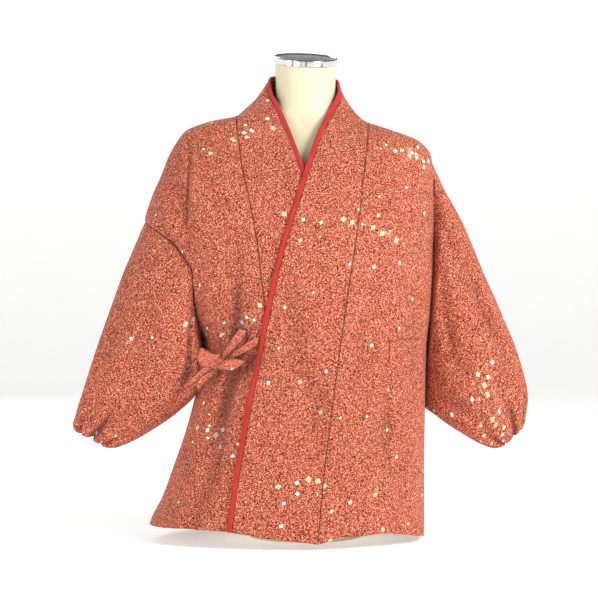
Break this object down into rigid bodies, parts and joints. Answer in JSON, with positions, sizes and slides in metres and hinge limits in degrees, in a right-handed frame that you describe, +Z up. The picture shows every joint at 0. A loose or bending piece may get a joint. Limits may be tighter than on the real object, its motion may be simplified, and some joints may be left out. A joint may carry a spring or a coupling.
{
  "type": "kimono top on limbless dress form",
  "caption": "Wrap-over kimono top with wide collar band, solid edge binding, side tie and gathered cuffs, on a limbless dress form with neck cap and flat foot.",
  "frame": {"origin": "on the flat underside of the dress form's foot, below the middle of the neck", "axes": "+Z up, +X towards the wearer's left, -Y towards the front"},
  "size_m": [0.6831, 0.2682, 0.735],
  "materials": {
    "print_cloth": "matt woven, coral red with fine cream speckle and small blossoms",
    "binding_cloth": "matt plain red",
    "form_shell": "smooth satin cream",
    "cap_metal": "polished"
  },
  "bodies": {
    "root": {"back": "print_cloth", "front_right": "print_cloth", "front_left": "print_cloth", "collar_right": "print_cloth", "collar_left": "print_cloth", "sleeve_right": "print_cloth", "sleeve_left": "print_cloth", "pocket": "print_cloth", "tie_strap": "print_cloth", "bow_knot": "print_cloth", "bow_loop_upper": "print_cloth", "bow_loop_outer": "print_cloth", "bow_leaf": "print_cloth", "bow_end_long": "print_cloth", "bow_end_short": "print_cloth", "binding_right": "binding_cloth", "binding_left": "binding_cloth", "dress_form": "form_shell", "neck_cap": "cap_metal"}
  },
  "joints": []
}
